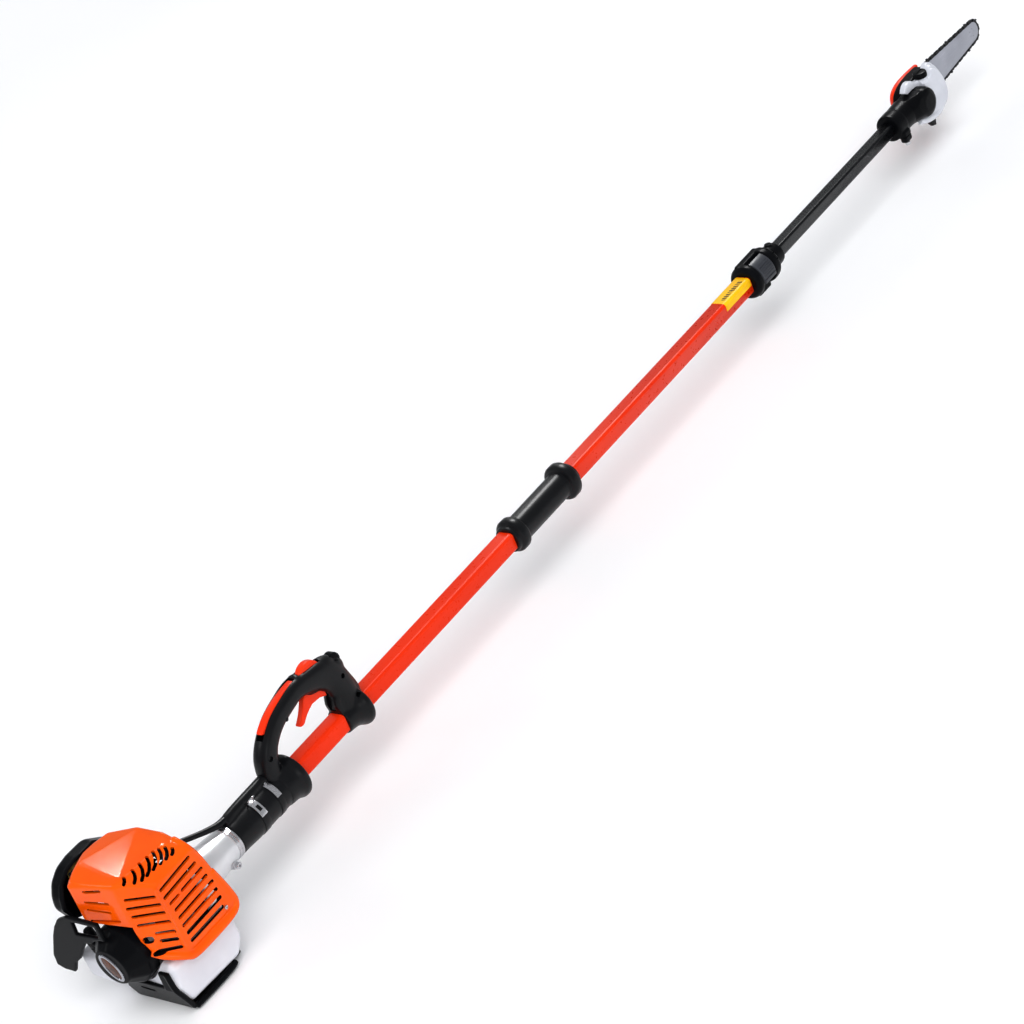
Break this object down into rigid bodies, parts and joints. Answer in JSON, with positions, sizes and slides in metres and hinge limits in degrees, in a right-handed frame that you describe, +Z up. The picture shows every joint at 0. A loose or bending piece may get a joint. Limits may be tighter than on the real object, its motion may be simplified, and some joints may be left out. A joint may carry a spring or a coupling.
{
  "type": "telescoping pole saw",
  "caption": "Petrol pole saw: engine with stand, loop handle, square telescoping pole with clamp and middle grip, and a geared head with bar and chain.",
  "frame": {"origin": "centre of the stand face under the engine, on the ground plane", "axes": "+X along the pole towards the saw, +Y to the user's left, +Z up"},
  "size_m": [2.701, 0.2269, 0.2449],
  "materials": {
    "orange_shell": "glossy moulded shroud plastic",
    "orange_plastic": "satin moulded plastic",
    "orange_paint": "glossy powder coat",
    "black_plastic": "fine-grained moulded plastic",
    "black_paint": "satin black coating",
    "black_rubber": "soft matt grip rubber",
    "cast_alloy": "fine die-cast surface",
    "steel": "machined steel",
    "tank_white": "translucent milky plastic",
    "head_white": "smooth pale plastic",
    "bar_grey": "ground steel, brushed along its length",
    "chain_black": "oiled dark steel",
    "nylon": "natural nylon",
    "foam": "open filter foam",
    "label_yellow": "printed film",
    "lever_grey": "satin grey plastic",
    "badge_grey": "plain oval badge",
    "muffler_steel": "heat-tinted steel",
    "copper_coil": "resin-potted coil",
    "ceramic": "glazed insulator",
    "primer_red": "soft clear-red bulb"
  },
  "bodies": {
    "power_unit": {"crankcase": "cast_alloy", "engine_cylinder": "cast_alloy", "ignition_coil": "copper_coil", "spark_plug": "ceramic", "muffler": "muffler_steel", "carburettor": "cast_alloy", "air_filter_base": "black_plastic", "air_filter_element": "foam", "air_filter_cover": "black_plastic", "engine_shroud": "orange_shell", "starter_housing": "black_plastic", "rewind_spring": "steel", "starter_badge": "badge_grey", "fuel_tank": "tank_white", "tank_guard": "black_plastic", "side_bumper": "black_plastic", "clutch_housing": "cast_alloy", "housing_bolts": "steel", "rear_grip": "black_rubber", "band_clamp": "steel", "harness_ring": "steel", "handle_left": "black_plastic", "handle_right": "black_plastic", "handle_fasteners": "steel", "throttle_cable": "black_rubber", "outer_tube": "orange_paint", "mid_grip": "black_rubber", "warning_label": "label_yellow", "clamp_body": "black_plastic", "front_bush": "nylon"},
    "crank": {"crankshaft": "steel", "flywheel": "cast_alloy", "clutch_shoes": "steel"},
    "drum": {"clutch_drum": "steel", "drive_tube": "steel"},
    "recoil": {"rope_drum": "nylon"},
    "starter_pull": {"starter_grip": "black_plastic"},
    "choke": {"choke_lever": "orange_plastic"},
    "primer": {"primer_bulb": "primer_red"},
    "filler_cap": {"fuel_cap": "black_plastic"},
    "trigger": {"throttle_trigger": "orange_plastic"},
    "lockout": {"lockout_lever": "orange_plastic"},
    "switch": {"stop_switch": "orange_plastic"},
    "lock_knob": {"throttle_lock_knob": "black_plastic"},
    "quick_lever": {"clamp_lever": "lever_grey"},
    "boom": {"inner_tube": "black_paint", "inner_bush": "nylon", "shaft_bearings": "steel", "gear_housing": "black_paint", "oil_tank": "head_white", "guide_bar": "bar_grey", "saw_chain": "chain_black", "head_fasteners": "steel", "sprocket_cover": "orange_shell", "branch_hook": "black_plastic"},
    "rod": {"drive_rod": "steel", "bevel_pinion": "steel"},
    "cross_shaft": {"bevel_wheel": "steel", "sprocket": "steel"},
    "oil_filler_cap": {"oil_cap": "black_plastic"}
  },
  "joints": [
    {"name": "crank_spin", "type": "hinge", "parent": "power_unit", "child": "crank", "pos_m": [0, 0, 0.11], "axis": [1, 0, 0], "continuous": true},
    {"name": "drum_spin", "type": "hinge", "parent": "power_unit", "child": "drum", "pos_m": [0, 0, 0.11], "axis": [1, 0, 0], "continuous": true},
    {"name": "recoil_spin", "type": "hinge", "parent": "power_unit", "child": "recoil", "pos_m": [0, 0, 0.11], "axis": [1, 0, 0], "range_deg": [-5, 1500]},
    {"name": "starter_draw", "type": "slide", "parent": "power_unit", "child": "starter_pull", "axis": [0, 1, 0], "range_m": [0, 0.55], "stiffness_N_per_m": 30, "springref_m": -0.35},
    {"name": "choke_turn", "type": "hinge", "parent": "power_unit", "child": "choke", "pos_m": [0, 0.05, 0.172], "axis": [1, 0, 0], "range_deg": [-35, 0]},
    {"name": "primer_press", "type": "slide", "parent": "power_unit", "child": "primer", "axis": [0, 0, 1], "range_m": [0, 0.004], "stiffness_N_per_m": 1500},
    {"name": "fuel_cap_turn", "type": "hinge", "parent": "power_unit", "child": "filler_cap", "pos_m": [0.04, 0, 0.062], "axis": [0, 1, 0], "range_deg": [-450, 0]},
    {"name": "trigger_squeeze", "type": "hinge", "parent": "power_unit", "child": "trigger", "pos_m": [0.424, 0, 0.192], "axis": [0, 1, 0], "range_deg": [0, 14], "stiffness_Nm_per_rad": 0.6, "springref_deg": -20.05},
    {"name": "lockout_press", "type": "hinge", "parent": "power_unit", "child": "lockout", "pos_m": [0.392, 0, 0.222], "axis": [0, -1, 0], "range_deg": [0, 5], "stiffness_Nm_per_rad": 2, "springref_deg": -11.46},
    {"name": "stop_switch_rock", "type": "hinge", "parent": "power_unit", "child": "switch", "pos_m": [0.434, 0, 0.22], "axis": [0, 1, 0], "range_deg": [-8, 8]},
    {"name": "throttle_lock_turn", "type": "hinge", "parent": "power_unit", "child": "lock_knob", "pos_m": [0.484, 0, 0.203], "axis": [0, 1, 0], "range_deg": [0, 90]},
    {"name": "clamp_lever_open", "type": "hinge", "parent": "power_unit", "child": "quick_lever", "pos_m": [1.7, -0.007, 0.1355], "axis": [-1, 0, 0], "range_deg": [0, 95]},
    {"name": "telescope", "type": "slide", "parent": "power_unit", "child": "boom", "axis": [1, 0, 0], "range_m": [0, 1.2]},
    {"name": "rod_spin", "type": "hinge", "parent": "boom", "child": "rod", "pos_m": [2, 0, 0.11], "axis": [1, 0, 0], "continuous": true},
    {"name": "cross_shaft_spin", "type": "hinge", "parent": "boom", "child": "cross_shaft", "pos_m": [2.302, 0, 0.11], "axis": [0, 1, 0], "continuous": true},
    {"name": "oil_cap_turn", "type": "hinge", "parent": "boom", "child": "oil_filler_cap", "pos_m": [2.331, -0.009, 0.15], "axis": [0, 0, 1], "range_deg": [0, 450]}
  ],
  "couplings": [
    {"joint": "recoil_spin", "follows": "starter_draw", "rad_per_m": 45.455},
    {"joint": "rod_spin", "follows": "drum_spin", "ratio": 1},
    {"joint": "cross_shaft_spin", "follows": "drum_spin", "ratio": -0.75}
  ]
}
